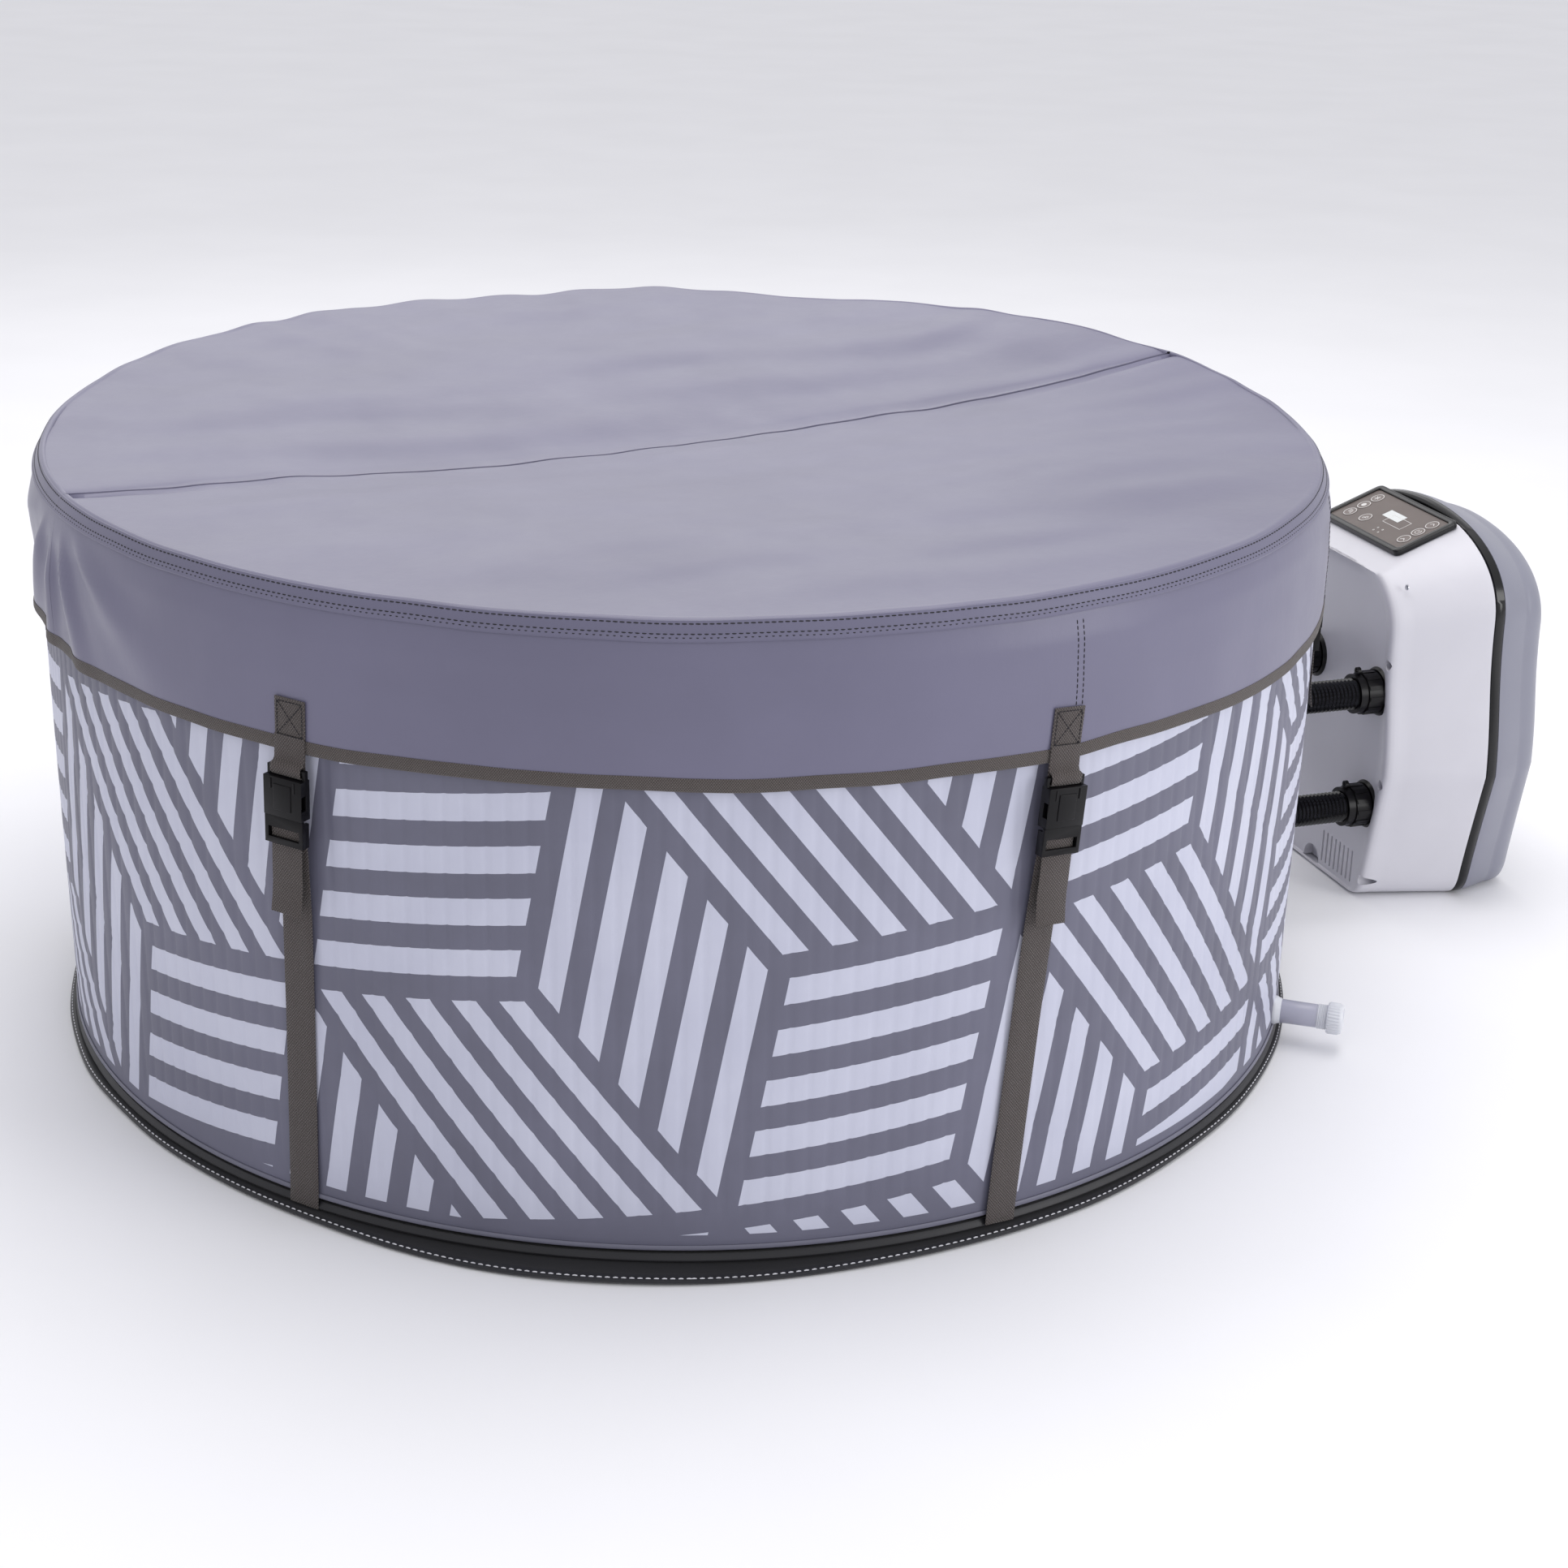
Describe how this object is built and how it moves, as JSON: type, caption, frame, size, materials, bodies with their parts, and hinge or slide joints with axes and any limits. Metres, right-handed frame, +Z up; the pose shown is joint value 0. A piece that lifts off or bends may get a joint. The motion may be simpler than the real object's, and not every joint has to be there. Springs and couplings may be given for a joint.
{
  "type": "inflatable hot tub",
  "caption": "Round inflatable hot tub with a folding buckled cover, ground mat, drain spout and a free-standing pump and heater unit joined by short corrugated hoses.",
  "frame": {"origin": "middle of the ground mat's underside, at ground level", "axes": "+Z up, +X towards the pump unit's side, -Y towards the side the picture shows"},
  "size_m": [2.1056, 1.6678, 0.755],
  "materials": {
    "pvc_dark": "coated black PVC, satin",
    "pvc_wall": "printed PVC laminate, satin, slate with pale stripes",
    "cover_vinyl": "slate blue-grey embossed vinyl, satin",
    "webbing": "taupe woven polypropylene webbing",
    "foam": "closed-cell foam in a white liner",
    "black_plastic": "black moulded plastic, fine texture",
    "hose_black": "glossy black corrugated hose",
    "steel": "stainless",
    "seal_rubber": "black rubber",
    "white_plastic": "pale grey moulded plastic",
    "shell_light": "light grey moulded casing, fine texture",
    "shell_grey": "mid grey moulded casing, fine texture",
    "filter_paper": "pleated filter cloth",
    "panel_face": "taupe printed membrane",
    "button_face": "soft grey keys",
    "display": "smoked display window",
    "board": "green circuit board",
    "motor": "dark coated motor casing"
  },
  "bodies": {
    "tub": {"ground_mat": "pvc_dark", "base_skirt": "pvc_dark", "tub_floor": "pvc_wall", "tub_wall": "pvc_wall", "bubble_ring": "shell_grey", "wall_fittings": "black_plastic", "air_duct": "shell_grey", "outlet_nozzle": "white_plastic", "filter_housing": "white_plastic", "filter_cartridge": "filter_paper", "hoses": "hose_black", "hose_clamps": "steel", "hose_seals": "seal_rubber", "pump_sockets": "black_plastic", "drain_spout": "white_plastic", "wall_valve": "black_plastic", "lower_straps": "webbing", "front_shell": "shell_light", "rear_shell": "shell_grey", "gasket_band": "seal_rubber", "panel_bezel": "black_plastic", "control_panel": "panel_face", "display_window": "display", "circuit_board": "board", "circulation_pump": "motor", "heater": "steel", "air_blower": "motor", "shell_screws": "steel", "cable_gland": "black_plastic"},
    "cover_rear": {"cover_top_rear": "cover_vinyl", "cover_skirt_rear": "cover_vinyl", "hem_rear": "webbing", "pad_rear": "foam", "cover_tabs_rear": "webbing", "buckle_sockets_rear": "black_plastic"},
    "cover_front": {"cover_top_front": "cover_vinyl", "cover_skirt_front": "cover_vinyl", "hem_front": "webbing", "pad_front": "foam", "cover_tabs_front": "webbing", "buckle_sockets_front": "black_plastic"},
    "buckle_plug_1": {"buckle_plug_1": "black_plastic"},
    "buckle_plug_2": {"buckle_plug_2": "black_plastic"},
    "buckle_plug_3": {"buckle_plug_3": "black_plastic"},
    "buckle_plug_4": {"buckle_plug_4": "black_plastic"},
    "buckle_plug_5": {"buckle_plug_5": "black_plastic"},
    "buckle_plug_6": {"buckle_plug_6": "black_plastic"},
    "inlet_nut": {"inlet_nut": "black_plastic"},
    "outlet_nut": {"outlet_nut": "black_plastic"},
    "air_nut": {"air_nut": "black_plastic"},
    "drain_cap": {"drain_cap": "white_plastic"},
    "wall_valve_cap": {"wall_valve_cap": "black_plastic"},
    "filter_cap": {"filter_cap": "white_plastic"},
    "button_1": {"button_1": "button_face"},
    "button_2": {"button_2": "button_face"},
    "button_3": {"button_3": "button_face"},
    "button_4": {"button_4": "button_face"},
    "button_5": {"button_5": "button_face"},
    "button_6": {"button_6": "button_face"},
    "button_7": {"button_7": "button_face"}
  },
  "joints": [
    {"name": "cover_lift", "type": "slide", "parent": "tub", "child": "cover_rear", "axis": [0, 0, 1], "range_m": [0, 0.35]},
    {"name": "cover_fold", "type": "hinge", "parent": "cover_rear", "child": "cover_front", "pos_m": [-0.00933, 0.01769, 0.757], "axis": [-0.8846, -0.4664, 0], "range_deg": [0, 175]},
    {"name": "buckle_release_1", "type": "slide", "parent": "tub", "child": "buckle_plug_1", "axis": [-0.0299, 0.018, -0.9994], "range_m": [0, 0.045]},
    {"name": "buckle_release_2", "type": "slide", "parent": "tub", "child": "buckle_plug_2", "axis": [-0.0691, -0.0372, -0.9969], "range_m": [0, 0.045]},
    {"name": "buckle_release_3", "type": "slide", "parent": "tub", "child": "buckle_plug_3", "axis": [0, 0, -1], "range_m": [0, 0.045]},
    {"name": "buckle_release_4", "type": "slide", "parent": "tub", "child": "buckle_plug_4", "axis": [0, 0, -1], "range_m": [0, 0.045]},
    {"name": "buckle_release_5", "type": "slide", "parent": "tub", "child": "buckle_plug_5", "axis": [0, 0, -1], "range_m": [0, 0.045]},
    {"name": "buckle_release_6", "type": "slide", "parent": "tub", "child": "buckle_plug_6", "axis": [0, 0, -1], "range_m": [0, 0.045]},
    {"name": "inlet_nut_turn", "type": "hinge", "parent": "tub", "child": "inlet_nut", "pos_m": [0.98827, 0.18871, 0.147], "axis": [0.9613, 0.2756, 0], "continuous": true},
    {"name": "outlet_nut_turn", "type": "hinge", "parent": "tub", "child": "outlet_nut", "pos_m": [0.98827, 0.18871, 0.323], "axis": [0.9613, 0.2756, 0], "continuous": true},
    {"name": "air_nut_turn", "type": "hinge", "parent": "tub", "child": "air_nut", "pos_m": [0.9381, 0.36366, 0.323], "axis": [0.9613, 0.2756, 0], "continuous": true},
    {"name": "drain_cap_turn", "type": "hinge", "parent": "tub", "child": "drain_cap", "pos_m": [0.84838, -0.30043, 0.043], "axis": [0.9426, -0.3338, 0], "continuous": true},
    {"name": "wall_valve_cap_turn", "type": "hinge", "parent": "tub", "child": "wall_valve_cap", "pos_m": [0.17257, 0.81186, 0.5], "axis": [0.2079, 0.9781, 0], "continuous": true},
    {"name": "filter_cap_turn", "type": "hinge", "parent": "tub", "child": "filter_cap", "pos_m": [0.62299, 0.08397, 0.147], "axis": [0.9613, 0.2756, 0], "continuous": true},
    {"name": "press_1", "type": "slide", "parent": "tub", "child": "button_1", "axis": [0.3445, 0.0988, -0.9336], "range_m": [0, 0.0006], "stiffness_N_per_m": 400},
    {"name": "press_2", "type": "slide", "parent": "tub", "child": "button_2", "axis": [0.3445, 0.0988, -0.9336], "range_m": [0, 0.0006], "stiffness_N_per_m": 400},
    {"name": "press_3", "type": "slide", "parent": "tub", "child": "button_3", "axis": [0.3445, 0.0988, -0.9336], "range_m": [0, 0.0006], "stiffness_N_per_m": 400},
    {"name": "press_4", "type": "slide", "parent": "tub", "child": "button_4", "axis": [0.3445, 0.0988, -0.9336], "range_m": [0, 0.0006], "stiffness_N_per_m": 400},
    {"name": "press_5", "type": "slide", "parent": "tub", "child": "button_5", "axis": [0.3445, 0.0988, -0.9336], "range_m": [0, 0.0006], "stiffness_N_per_m": 400},
    {"name": "press_6", "type": "slide", "parent": "tub", "child": "button_6", "axis": [0.3445, 0.0988, -0.9336], "range_m": [0, 0.0006], "stiffness_N_per_m": 400},
    {"name": "press_7", "type": "slide", "parent": "tub", "child": "button_7", "axis": [0.3445, 0.0988, -0.9336], "range_m": [0, 0.0006], "stiffness_N_per_m": 400}
  ]
}
